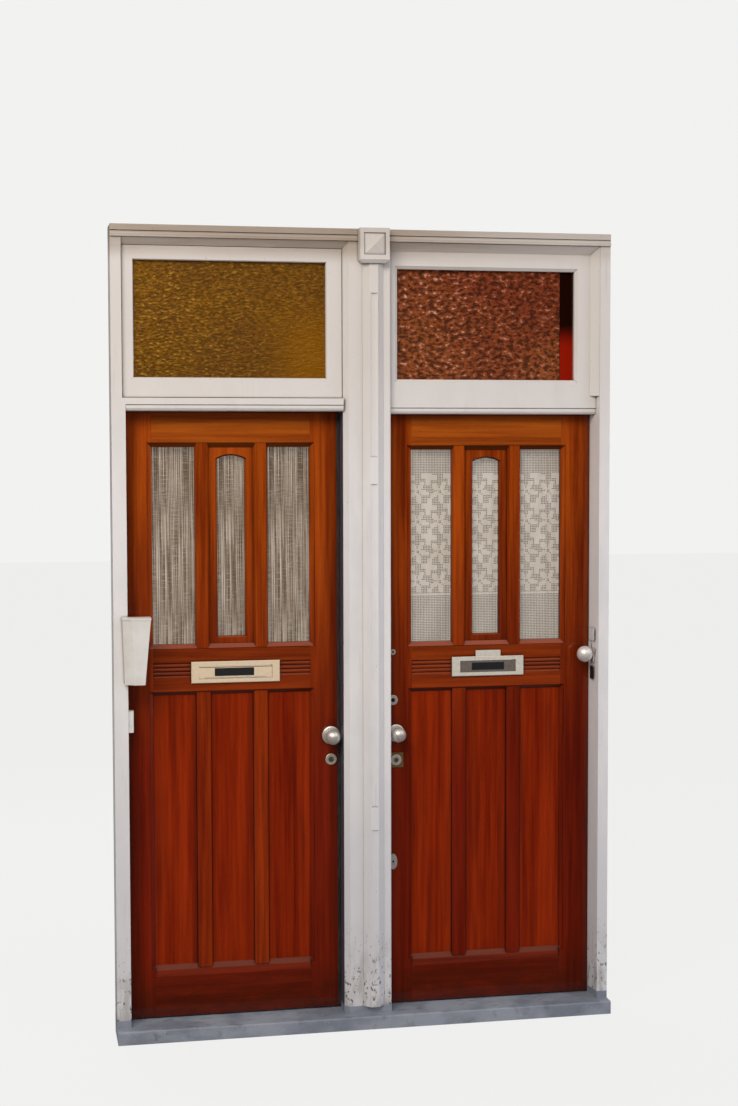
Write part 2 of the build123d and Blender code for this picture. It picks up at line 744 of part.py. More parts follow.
for bay in (left_bay, right_bay):
    front, rear = leaf_setback, frame_depth
    sight = leaf_setback + sight_depth
    lights = ((bay.field[0], bay.field[0] + bay.light_width),
              (bay.field[1] - bay.light_width, bay.field[1]))
    light_moulding = moulded_cutter(bay.field, bay.light_span, front, glass_moulding,
                                    moulding_depth)
    panel_edge = moulded_cutter(bay.field, bay.panel_span, front, panel_moulding,
                                moulding_depth)
    panel_width = (field_width - 2 * muntin_width) / 3
    panel_starts = [bay.field[0] + count * (panel_width + muntin_width) for count in range(3)]
    hatch_outer = grown(bay.hatch_opening, hatch_lap)
    hatch_z = grown(bay.light_span, hatch_lap)
    key_z = leaf_bottom + bay.key_level
    bolt_z = key_z + bolt_rise
    lock_side = -bay.hinge
    bolt_x = tuple(sorted((bay.lock_edge, bay.lock_edge - lock_side * bolt_length)))
    letter_z = leaf_bottom + bay.plate_level + bay.plate_height / 2
    window_x = grown((bay.letter_x, bay.letter_x), bay.flap_width / 2 + flap_gap)
    window_z = grown((letter_z, letter_z), bay.flap_height / 2 + flap_gap)

    # Three panels with their edges in grooves
    with BuildPart() as panels:
        for start in panel_starts:
            block(grown((start, start + panel_width), panel_groove),
                  (sight, sight + panel_thickness), grown(bay.panel_span, panel_groove))
    save(panels, f"{bay.name}_panels")

    def rebates():
        """The rear rebates for the glass and the hatch, and the grooves for the panels."""
        for light in lights:
            block(grown(light, glass_cover), (sight, rear), grown(bay.light_span, glass_cover),
                  mode=Mode.SUBTRACT)
        block(grown(hatch_outer, hatch_gap), (sight, rear), grown(hatch_z, hatch_gap),
              mode=Mode.SUBTRACT)
        add(panels.part, mode=Mode.SUBTRACT)

    # Stiles, the full height of the leaf
    for side, x_span in ((-1, (bay.leaf_span[0], bay.field[0])),
                         (1, (bay.field[1], bay.leaf_span[1]))):
        with BuildPart() as stile:
            block(x_span, (front, rear), (leaf_bottom, bay.leaf_top))
            add(light_moulding, mode=Mode.SUBTRACT)
            add(panel_edge, mode=Mode.SUBTRACT)
            rebates()
            if side == bay.hinge:
                hinge_sinkings(bay, bay.hinge_edge, "stile")
            else:
                pocket_x = tuple(sorted((bay.lock_edge,
                                         bay.lock_edge - lock_side * (bolt_length + pocket_spare))))
                block(pocket_x, grown((bolt_centre, bolt_centre), bolt_width / 2 + bolt_clearance),
                      grown((bolt_z, bolt_z), bolt_height / 2 + bolt_clearance),
                      mode=Mode.SUBTRACT)
                with BuildSketch(facing(rear)) as bore:
                    with Locations((bay.lock_x, key_z)):
                        Circle(bay.key_radius + running_gap)
                extrude(bore.sketch, amount=leaf_thickness, mode=Mode.SUBTRACT)
        save(stile, f"{bay.name}_{'hinge' if side == bay.hinge else 'lock'}_stile")

    # Rails between the stiles
    with BuildPart() as bottom_rail:
        block(bay.field, (front, rear), (leaf_bottom, bay.panel_span[0]))
        extrude(outline(Plane.YZ.offset(bay.field[0]), [
            (front, bay.panel_span[0] - weathering_height), (sight, bay.panel_span[0]),
            (front, bay.panel_span[0])]), amount=field_width, mode=Mode.SUBTRACT)
        rebates()
    save(bottom_rail, f"{bay.name}_bottom_rail")

    with BuildPart() as lock_rail:
        block(bay.field, (front, rear), (bay.panel_span[1], bay.light_span[0]))
        add(light_moulding, mode=Mode.SUBTRACT)
        add(panel_edge, mode=Mode.SUBTRACT)
        rebates()
        reed_z = leaf_bottom - bay.drop + reed_low
        with BuildSketch(Plane.YZ.offset(bay.field[0])) as reeds:
            for count in range(reed_count):
                with Locations((front - reed_radius + reed_depth, reed_z + count * reed_pitch)):
                    Circle(reed_radius)
        extrude(reeds.sketch, amount=field_width, mode=Mode.SUBTRACT)
        block(window_x, (front, rear), window_z, mode=Mode.SUBTRACT)
    save(lock_rail, f"{bay.name}_lock_rail")

    with BuildPart() as top_rail:
        block(bay.field, (front, rear), (bay.light_span[1], bay.leaf_top))
        add(light_moulding, mode=Mode.SUBTRACT)
        rebates()
    save(top_rail, f"{bay.name}_top_rail")

    # Upright bars: mullions between the lights, muntins between the panels
    with BuildPart() as bars:
        for start in (bay.field[0] + bay.light_width, bay.hatch_opening[1]):
            block((start, start + mullion_width), (front + quirk, rear),
                  grown(bay.light_span, glass_moulding))
        for light in (*lights, bay.hatch_opening):
            add(moulded_cutter(light, grown(bay.light_span, glass_moulding), front,
                               bar_moulding, moulding_depth), mode=Mode.SUBTRACT)
        for start in panel_starts[1:]:
            block((start - muntin_width, start), (front + muntin_setback, rear - muntin_setback),
                  grown(bay.panel_span, panel_moulding))
        muntin_edges = bars.edges().filter_by(Axis.Z).filter_by(
            lambda edge: abs(edge.center().Y - front - muntin_setback) < running_gap)
        chamfer(muntin_edges, muntin_chamfer)
        rebates()
        for rail in (bottom_rail, lock_rail, top_rail):
            add(rail.part, mode=Mode.SUBTRACT)
    save(bars, f"{bay.name}_bars")

    # Fixed glass beside the hatch, and the beads that hold it
    with BuildPart() as side_glass:
        for light in lights:
            block(grown(light, glass_cover), (sight, sight + glass_thickness),
                  grown(bay.light_span, glass_cover))
    save(side_glass, f"{bay.name}_side_glass")

    with BuildPart() as glazing_beads:
        for light in lights:
            glazing_bead(light, bay.light_span, sight + glass_thickness, bead_depth)
    save(glazing_beads, f"{bay.name}_glazing_beads")

    # Letterplate with a framed window, and the flap that hangs in it on two pins
    plate_y = (front - letter_plate_thickness, front)
    pin_y = front - letter_plate_thickness / 2
    pin_z = window_z[1] - flap_pin - flap_gap
    with BuildPart() as letterplate:
        block(grown((bay.letter_x, bay.letter_x), bay.plate_width / 2), plate_y,
              grown((letter_z, letter_z), bay.plate_height / 2))
        chamfer(letterplate.faces().sort_by(Axis.Y)[0].edges(), letter_plate_chamfer)
        block(window_x, plate_y, window_z, mode=Mode.SUBTRACT)
        with BuildSketch(Plane.YZ.offset(window_x[0] - flap_pin_hole)) as hole:
            with Locations((pin_y, pin_z)):
                Circle(flap_pin + running_gap)
        extrude(hole.sketch, amount=window_x[1] - window_x[0] + 2 * flap_pin_hole,
                mode=Mode.SUBTRACT)
    save(letterplate, f"{bay.name}_letterplate")

    with BuildPart() as letter_flap:
        block(grown(window_x, -flap_gap), grown((pin_y, pin_y), flap_thickness / 2),
              (window_z[0] + flap_gap, pin_z))
        with BuildSketch(Plane.YZ.offset(window_x[0] - flap_pin_reach)) as pin:
            with Locations((pin_y, pin_z)):
                Circle(flap_pin)
        extrude(pin.sketch, amount=window_x[1] - window_x[0] + 2 * flap_pin_reach)
    save(letter_flap, f"{bay.name}_letter_flap")

    # Knobs in and out, and the rosettes round the keyholes
    with BuildPart() as furniture:
        knob(bay.lock_x, leaf_bottom + knob_level, front, -1)
        knob(bay.lock_x, leaf_bottom + knob_level, rear, 1)
        key_hole = bay.key_radius + key_play
        ring(bay.lock_x, key_z, front, -1, key_rosette, key_hole, rosette_thickness)
        ring(bay.lock_x, key_z, rear, 1, key_rosette, key_hole, rosette_thickness)
        if bay is right_bay:
            block(grown((bay.lock_x, bay.lock_x), key_plate_side / 2),
                  (front - key_plate_thickness, front), grown((key_z, key_z), key_plate_side / 2))
            with BuildSketch(facing(front)) as hole:
                with Locations((bay.lock_x, key_z)):
                    Circle(key_hole)
            extrude(hole.sketch, amount=key_plate_thickness, mode=Mode.SUBTRACT)
            spare_x = bay.lock_x - spare_offset
            ring(spare_x, leaf_bottom + spare_lock_level, front, -1, spare_lock_radius,
                 spare_lock_hole, rosette_thickness)
            ring(spare_x, leaf_bottom + viewer_level, front, -1, viewer_radius, viewer_hole,
                 viewer_thickness)
            with BuildSketch(facing(front)) as escutcheon:
                with Locations((spare_x, leaf_bottom + escutcheon_level)):
                    Ellipse(escutcheon_width / 2, escutcheon_height / 2)
                    Circle(viewer_hole, mode=Mode.SUBTRACT)
            extrude(escutcheon.sketch, amount=escutcheon_thickness)
    save(furniture, f"{bay.name}_door_furniture")

    # Key plug through the stile with a thumb turn inside, and the bolt that it throws
    with BuildPart() as key_turn:
        with BuildSketch(facing(rear + plug_reach)) as plug:
            with Locations((bay.lock_x, key_z)):
                Circle(bay.key_radius)
        extrude(plug.sketch, amount=leaf_thickness + plug_reach + plug_proud)
        slot_width, slot_height, slot_depth = key_slot
        block(grown((bay.lock_x, bay.lock_x), slot_width / 2),
              (front - plug_proud, front - plug_proud + slot_depth),
              grown((key_z, key_z), slot_height / 2), mode=Mode.SUBTRACT)
        block(grown((bay.lock_x, bay.lock_x), turn_thickness / 2),
              (rear + plug_reach, rear + plug_reach + turn_grip),
              grown((key_z, key_z), turn_height / 2))
    save(key_turn, f"{bay.name}_key_turn")

    with BuildPart() as lock_bolt:
        block(bolt_x, grown((bolt_centre, bolt_centre), bolt_width / 2),
              grown((bolt_z, bolt_z), bolt_height / 2))
    save(lock_bolt, f"{bay.name}_lock_bolt")

    # Hatch: a small sash with an arched head, hinged on the same side as its leaf
    glass_x = grown(bay.hatch_opening, -hatch_stile)
    glass_z = (bay.light_span[0] + hatch_sill, bay.light_span[1] - hatch_head)
    hatch_edge = hatch_outer[0] if bay.hinge < 0 else hatch_outer[1]
    hatch_axis = hatch_edge + bay.hinge * hatch_gap / 2
    knuckle_depth = rear + knuckle.stand
    hatch_levels = (bay.light_span[0] + hatch_hinge_inset,
                    bay.light_span[1] - hatch_hinge_inset - knuckle.height)
    hatch_glass_y = sight + hatch_moulding + glass_play
    third = knuckle.height / 3
    with BuildPart() as hatch_sash:
        block(hatch_outer, (sight, rear), hatch_z)
        closing = hatch_outer[1] if bay.hinge < 0 else hatch_outer[0]
        extrude(outline(Plane.XY.offset(hatch_z[0]), [
            (closing, sight), (closing + bay.hinge * hatch_bevel, sight), (closing, rear)]),
            amount=hatch_z[1] - hatch_z[0], mode=Mode.SUBTRACT)
        with BuildSketch(facing(sight + hatch_moulding)) as sight_opening:
            with BuildLine():
                Line((glass_x[0], glass_z[1] - hatch_arch), (glass_x[0], glass_z[0]))
                Line((glass_x[0], glass_z[0]), (glass_x[1], glass_z[0]))
                Line((glass_x[1], glass_z[0]), (glass_x[1], glass_z[1] - hatch_arch))
                ThreePointArc((glass_x[1], glass_z[1] - hatch_arch),
                              (sum(glass_x) / 2, glass_z[1]),
                              (glass_x[0], glass_z[1] - hatch_arch))
            make_face()
        extrude(sight_opening.sketch, amount=hatch_moulding, taper=-40, mode=Mode.SUBTRACT)
        extrude(sight_opening.sketch, amount=-(rear - sight), mode=Mode.SUBTRACT)
        block(grown(glass_x, glass_cover), (hatch_glass_y, rear), grown(glass_z, glass_cover),
              mode=Mode.SUBTRACT)
        for level in hatch_levels:
            tab_span = tuple(sorted((hatch_axis, hatch_axis - bay.hinge * knuckle.tab)))
            block(tab_span, (rear, rear + knuckle.plate), (level + third + knuckle_gap,
                                                           level + 2 * third - knuckle_gap))
            with Locations((hatch_axis, knuckle_depth, level + knuckle.height / 2)):
                Cylinder(knuckle.radius, third - 2 * knuckle_gap)
                Cylinder(knuckle.pin + running_gap, third, mode=Mode.SUBTRACT)
        glazing_bead(glass_x, glass_z, hatch_glass_y + glass_thickness, hatch_bead_depth)
    save(hatch_sash, f"{bay.name}_hatch_sash")

    with BuildPart() as hatch_glass:
        block(grown(glass_x, glass_cover), (hatch_glass_y, hatch_glass_y + glass_thickness),
              grown(glass_z, glass_cover))
    save(hatch_glass, f"{bay.name}_hatch_glass")

    # Leaf halves of the butt hinges, and the fixed halves of the small hatch hinges
    with BuildPart() as hinge_plates:
        plate_x = tuple(sorted((bay.hinge_edge, bay.hinge_edge - bay.hinge * hinge_plate)))
        for level in bay.hinge_levels:
            block(plate_x, (frame_depth - hinge_leaf, frame_depth), (level, level + hinge_height))
            middle = (level + knuckle_third + knuckle_gap, level + 2 * knuckle_third - knuckle_gap)
            block(plate_x, (frame_depth, knuckle_y), middle)
            with Locations((bay.hinge_axis, knuckle_y, level + hinge_height / 2)):
                Cylinder(knuckle_radius, middle[1] - middle[0])
                Cylinder(pin_radius + running_gap, knuckle_third, mode=Mode.SUBTRACT)
        for level in hatch_levels:
            tab_span = tuple(sorted((hatch_axis, hatch_axis + bay.hinge * knuckle.tab)))
            for low in (level, level + 2 * third):
                block(tab_span, (rear, rear + knuckle.plate), (low, low + third))
                with Locations((hatch_axis, knuckle_depth, low + third / 2)):
                    Cylinder(knuckle.radius, third)
            with Locations((hatch_axis, knuckle_depth, level + knuckle.height / 2)):
                Cylinder(knuckle.pin, knuckle.height)
    save(hinge_plates, f"{bay.name}_hinge_plates")

    # Net curtains on the room side, one behind each light
    with BuildPart() as side_curtains:
        for light in lights:
            folds(grown(light, curtain_overlap), curtain_y, grown(bay.light_span, curtain_drop),
                  curtain_wave, curtain_folds, curtain_thickness)
    save(side_curtains, f"{bay.name}_side_curtains")

    with BuildPart() as hatch_curtain:
        folds(grown(glass_x, curtain_overlap), curtain_y, grown(glass_z, hatch_curtain_drop),
              curtain_wave, hatch_folds, curtain_thickness)
    save(hatch_curtain, f"{bay.name}_hatch_curtain")
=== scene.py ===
from math import cos, pi, radians, sin

import bmesh
import bpy
from mathutils import Matrix, Vector


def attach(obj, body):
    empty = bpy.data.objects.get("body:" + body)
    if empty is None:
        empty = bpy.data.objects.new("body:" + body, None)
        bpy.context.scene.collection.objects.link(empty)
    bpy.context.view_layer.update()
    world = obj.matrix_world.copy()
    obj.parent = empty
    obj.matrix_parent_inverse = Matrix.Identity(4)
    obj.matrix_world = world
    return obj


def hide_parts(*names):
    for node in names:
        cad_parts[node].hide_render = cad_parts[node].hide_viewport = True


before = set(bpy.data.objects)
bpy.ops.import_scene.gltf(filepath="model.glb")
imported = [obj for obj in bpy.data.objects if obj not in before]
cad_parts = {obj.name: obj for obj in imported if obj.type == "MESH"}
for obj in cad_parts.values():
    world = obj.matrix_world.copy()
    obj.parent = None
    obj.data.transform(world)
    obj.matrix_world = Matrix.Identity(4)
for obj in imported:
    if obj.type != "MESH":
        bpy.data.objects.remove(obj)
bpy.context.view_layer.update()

# Doorstep: one slab of Belgian blue limestone under the whole frame, sawn to size and worn
# dull in patches by feet and weather.
SMOOTH = {"interpolation_type": "SMOOTHSTEP"}


def linear(code):
    """The linear colour of an sRGB hex value."""
    shares = [int(code[i:i + 2], 16) / 255 for i in (0, 2, 4)]
    return (*[s / 12.92 if s <= 0.04045 else ((s + 0.055) / 1.055) ** 2.4 for s in shares], 1)


def wire(tree, node, inputs):
    """Links or sets a node's sockets, given by name or in their order. A node given to a socket
    stands for its first live output, and text for a hex colour."""
    if not isinstance(inputs, dict):
        inputs = dict(enumerate(inputs))
    for socket, value in inputs.items():
        if isinstance(value, bpy.types.Node):
            value = next(output for output in value.outputs if output.enabled)
        if isinstance(value, bpy.types.NodeSocket):
            tree.links.new(value, node.inputs[socket])
        else:
            node.inputs[socket].default_value = linear(value) if isinstance(value, str) else value


def add(tree, kind, inputs=(), **settings):
    """One node of a material, with its settings, and its sockets linked or set."""
    node = tree.nodes.new("ShaderNode" + kind)
    for setting, value in settings.items():
        setattr(node, setting, value)
    wire(tree, node, inputs)
    return node


def finish(name, inputs):
    """A new material: its tree, its shader with plain sockets set, and its object coordinates."""
    material = bpy.data.materials.new(name)
    material.use_nodes = True
    tree = material.node_tree
    shader = tree.nodes["Principled BSDF"]
    wire(tree, shader, inputs)
    return material, tree, shader, add(tree, "TexCoord").outputs["Object"]


def stretched(tree, place, sizes_mm, detail=3.0, roughness=0.55):
    """Noise whose blotches measure sizes_mm along X, Y and Z."""
    scaled = add(tree, "VectorMath", (place, [1000 / size for size in sizes_mm]),
                 operation="MULTIPLY")
    return add(tree, "TexNoise", {"Vector": scaled, "Scale": 1.0, "Detail": detail,
                                  "Roughness": roughness})


def patches(tree, place, sizes_mm, low, high, start=0.0, end=1.0, detail=3.0, roughness=0.55):
    """Soft patches: such noise, spread from start to end where it goes from low to high."""
    noise = stretched(tree, place, sizes_mm, detail, roughness)
    return add(tree, "MapRange", (noise, low, high, start, end), **SMOOTH)


def layered(tree, shade, *layers):
    """A colour under further layers, each given as its share and its colour."""
    for share, over in layers:
        shade = add(tree, "Mix", {0: share, 6: shade, 7: over}, data_type="RGBA")
    return shade


def relief(tree, shader, height, depth_mm):
    """A fine surface relief of that depth."""
    bump = add(tree, "Bump", {"Height": height, "Strength": 1.0, "Distance": depth_mm / 1000})
    wire(tree, shader, {"Normal": bump})


def dress(material, *names):
    """Puts a material on CAD nodes."""
    for name in names:
        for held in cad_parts[name].material_slots:
            held.material = material


# Blue limestone: matt grey with paler shell flecks, darker where water and dirt stay.
stone, tree, shader, place = finish("sawn_blue_limestone", {"IOR": 1.5})
clouds = patches(tree, place, (160, 160, 90), 0.35, 0.65)
flecks = patches(tree, place, (7, 7, 5), 0.62, 0.70, 0.0, 0.6)
soil = patches(tree, place, (60, 25, 60), 0.56, 0.72, 0.0, 0.55, detail=5.0)
wire(tree, shader, {
    "Base Color": layered(tree, "747983", (clouds, "8e929b"), (flecks, "aeb0b2"),
                          (soil, "4f4b45")),
    "Roughness": add(tree, "MapRange", (clouds, 0, 1, 0.62, 0.85), **SMOOTH)})
relief(tree, shader, stretched(tree, place, (4, 4, 4), 6.0), 0.5)
dress(stone, "doorstep")


# Door frame: softwood jambs, post, head and transoms under many coats of warm white gloss,
# laid on by brush along the wood, dusty and painted in shade near the head and in its corners,
# and chipped at the feet.
UPRIGHT_BRUSH, LEVEL_BRUSH = (2.5, 2.5, 160), (160, 2.5, 2.5)
DUST_AND_SHADE_LOW, DUST_AND_SHADE_HIGH = 2.9, 2.99
SPLASH_TOP, CHIPS_TOP = 0.42, 0.45


def product(tree, *values):
    """The product of some values."""
    result = values[0]
    for value in values[1:]:
        result = add(tree, "Math", (result, value), operation="MULTIPLY")
    return result


def corner_shade_and_dirt(tree, reach_mm, strength, clean, full):
    """How much painted shade, with some dirt, a corner or joint gets: 0 where at least the clean
    share of the sky is seen, and the whole strength where no more than the full share is."""
    corner = add(tree, "AmbientOcclusion", {"Distance": reach_mm / 1000}, samples=6)
    return add(tree, "MapRange", (corner.outputs["AO"], clean, full, 0.0, strength), **SMOOTH)


def white_paint(name, brush_mm, aged, head_dust_and_shade=1.0, overlay=None):
    """White alkyd gloss: thick and softly streaked by the brush, so highlights run along the wood.
    It is cooler low down and creamier high up. Dust and painted shade brown the head, less so to
    the right, and painted shade darkens its corners and joints. An overlay may paint over a part
    of it."""
    material, tree, shader, place = finish(name, {
        "IOR": 1.48, "Coat Weight": 0.15, "Coat Roughness": 0.2})
    x, _, height = add(tree, "SeparateXYZ", (place,)).outputs
    cloud = patches(tree, place, (110, 110, 320), 0.35, 0.68)
    cool = add(tree, "MapRange", (height, 1.3, 0.4, 0.0, 0.6), **SMOOTH)
    cream = add(tree, "MapRange", (height, 1.9, 2.7, 0.0, 0.6), **SMOOTH)
    # Near the head: dust and painted shade, less of both to the right.
    near_head = add(tree, "MapRange", (height, DUST_AND_SHADE_LOW, DUST_AND_SHADE_HIGH, 0.0, head_dust_and_shade), **SMOOTH)
    dust_and_head_shade = product(tree, near_head,
                   patches(tree, place, (700, 90, 60), 0.35, 0.6, 0.6, 0.85, detail=4.0),
                   add(tree, "MapRange", (x, 0.0, 0.8, 1.0, 0.5), **SMOOTH))
    splash = product(tree, add(tree, "MapRange", (height, SPLASH_TOP, 0.06), **SMOOTH),
                     patches(tree, place, (35, 35, 120), 0.42, 0.62, 0.0, 0.6, detail=5.0))
    runs = product(tree, patches(tree, place, (7, 7, 300), 0.62, 0.72, detail=2.0),
                   patches(tree, place, (260, 260, 400), 0.5, 0.62, 0.0, 0.3))
    low_chips = product(tree, add(tree, "MapRange", (height, CHIPS_TOP, 0.1), **SMOOTH),
                        patches(tree, place, (15, 15, 22), 0.595, 0.615, detail=4.0,
                                roughness=0.65))
    strays = product(tree, patches(tree, place, (8, 8, 12), 0.735, 0.75), 0.8)
    chips = add(tree, "Math", (low_chips, strays), operation="MAXIMUM")
    # The two corner layers are painted shade, with some dirt, in corners and joints.
    shade = layered(tree, "ded9d6", (cloud, aged), (cool, "c3c1c4"), (cream, "c6bbb0"),
                    (dust_and_head_shade, "8f7b67"), (splash, "8f887f"), (runs, "a29c93"),
                    (corner_shade_and_dirt(tree, 14, 0.6, 0.92, 0.4), "6b6259"),
                    (corner_shade_and_dirt(tree, 4, 0.7, 0.9, 0.55), "5f574f"), (chips, "5a534c"))
    if overlay:
        shade = overlay(tree, place, shade)
    wire(tree, shader, {"Base Color": shade,
                        "Roughness": add(tree, "MapRange", (cloud, 0, 1, 0.34, 0.5), **SMOOTH)})
    strokes = stretched(tree, place, brush_mm, 4.0)
    relief(tree, shader, add(tree, "Math", (strokes, chips), operation="SUBTRACT"), 0.35)
    return material


upright_white = white_paint("white_gloss_on_upright_softwood", UPRIGHT_BRUSH, "d5d0ce")
level_white = white_paint("white_gloss_on_level_softwood", LEVEL_BRUSH, "d6d1ce")
dress(upright_white, "left_jamb", "right_jamb")
dress(level_white, "head_rail", "head_mouldings", "left_transom", "right_transom",
      "right_fan_frame", "fan_sash")

# Middle post: the same white gloss, but its left reveal below the transom was cut in with
# slate grey, and the two paints meet in a ragged line just behind the corner.
POST_LEFT = -0.090
SLATE_TOP = 2.36


def slate_reveal(tree, place, shade):
    """Slate grey on the post's left face, from some 14 mm behind its front corner."""
    x, depth, height = add(tree, "SeparateXYZ", (place,)).outputs
    left_face = add(tree, "MapRange", (x, POST_LEFT + 0.0005, POST_LEFT - 0.0005), **SMOOTH)
    ragged = add(tree, "Math", (stretched(tree, place, (6, 6, 45), 5.0), 0.024, depth),
                 operation="MULTIPLY_ADD")
    slate = product(tree, left_face, add(tree, "MapRange", (ragged, 0.0255, 0.0265), **SMOOTH),
                    add(tree, "MapRange", (height, SLATE_TOP, SLATE_TOP - 0.005), **SMOOTH))
    return layered(tree, shade, (slate, "4a4650"))


dress(white_paint("white_gloss_with_slate_reveal", UPRIGHT_BRUSH, "d5d0ce", overlay=slate_reveal),
      "middle_post")

# Pilaster on the post: a planed half-octagonal shaft with stopped flutes, and a capital block
# whose sunk field holds a low pyramid. Both are nailed on and painted in with the frame, and
# the block, which stands forward of the head, gets less of the head's dust and painted shade.
dress(upright_white, "pilaster_shaft")
dress(white_paint("white_gloss_on_block", LEVEL_BRUSH, "d5d0ce", 0.35), "pilaster_capital")


# Fan lights: cast glass, puttied into the opening sash on the left and the fixed frame on the
# right. The left pane is amber hammered glass, the right one dark red with a coarse pebbled
# face; both hide what is behind them.
def cast_glass(name, colours, lump_mm, depth_mm, glint, tint, left_edge, lumpy_to, overlay):
    """Cast glass: deep even colour, its lumpy face breaking every reflection into small lights.
    Painted highlights sit on the lumps, most of them towards its left edge, and painted shade in
    the hollows. To the right of lumpy_to the face is smooth and takes the hollows' colour. The
    colours are two of the body, one of the painted shade in the hollows and one of the painted
    highlights."""
    material, tree, shader, place = finish(name, {
        "IOR": 1.52, "Roughness": 0.12, "Transmission Weight": 0.05, "Specular IOR Level": 0.3,
        "Specular Tint": tint, "Coat Roughness": 0.1})
    body, second_body, hollow_shade_colour, light = colours
    x, _, height = add(tree, "SeparateXYZ", (place,)).outputs
    drift = patches(tree, place, (420, 420, 300), 0.3, 0.7, detail=1.0)
    face = stretched(tree, place, lump_mm, 4.0)
    # Painted shade in the hollows, and painted highlights on the lumps, more of them to the left.
    hollow_shade = add(tree, "MapRange", (face, 0.55, 0.41, 0.0, 0.75), **SMOOTH)
    glints_leftward = add(tree, "MapRange", (x, left_edge + 0.15, left_edge + 0.55, 0.85, 0.4), **SMOOTH)
    lights = product(tree, add(tree, "MapRange", (face, 0.58, 0.70), **SMOOTH), glints_leftward)
    lumpy = add(tree, "MapRange", (x, lumpy_to, lumpy_to - 0.003), **SMOOTH)
    shade = layered(tree, body, (drift, second_body), (hollow_shade, hollow_shade_colour), (lights, light))
    shade = overlay(tree, x, height, layered(tree, hollow_shade_colour, (lumpy, shade)))
    coated = add(tree, "MapRange", (lumpy, 0, 1, 0.1, 1.0), **SMOOTH)
    wire(tree, shader, {"Base Color": shade, "Coat Weight": product(tree, coated, glint)})
    relief(tree, shader, product(tree, face, lumpy), depth_mm)
    return material


def golden_corner(tree, x, height, shade):
    """The amber pane is more golden towards its lower right corner."""
    golden = product(tree, add(tree, "MapRange", (x, -0.45, -0.2), **SMOOTH),
                     add(tree, "MapRange", (height, 2.85, 2.6), **SMOOTH), 0.75)
    return layered(tree, shade, (golden, "825000"))


dress(cast_glass("amber_hammered_glass", ("663d0c", "784c04", "442806", "ac8430"),
                 lump_mm=(15, 15, 7), depth_mm=5.0, glint=0.35, tint="ffd080", left_edge=-0.88,
                 lumpy_to=0.0, overlay=golden_corner), "left_fan_glass")

# The red pane stops short of its right edge, where a strip of plain glass is let in, nearly
# black above and a clear deep red below.
STRIP_LEFT = 0.775


def plain_strip(tree, x, height, shade):
    """The strip's red foot."""
    foot = product(
        tree, add(tree, "MapRange", (x, STRIP_LEFT - 0.003, STRIP_LEFT + 0.001), **SMOOTH),
        add(tree, "MapRange", (height, 2.70, 2.60), **SMOOTH))
    return layered(tree, shade, (foot, "8c1605"))


dress(cast_glass("red_pebbled_glass", ("782f10", "8a451d", "1a0603", "d8a48a"),
                 lump_mm=(21, 21, 14), depth_mm=13.0, glint=0.85, tint="ffc0a0", left_edge=0.116,
                 lumpy_to=STRIP_LEFT, overlay=plain_strip), "right_fan_glass")

# Door leaves: framed hardwood stiles, rails, bars and panels, stained red-brown and varnished
# clear. The grain runs along each member, and wet weather has darkened the feet.
SIDES = ("left", "right")
UPRIGHT_GRAIN, UPRIGHT_PORES = (14, 14, 420), (1.6, 1.6, 26)
LEVEL_GRAIN, LEVEL_PORES = (420, 14, 14), (26, 1.6, 1.6)
LEAF_FRONT, PANEL_FACE = 0.090, 0.104


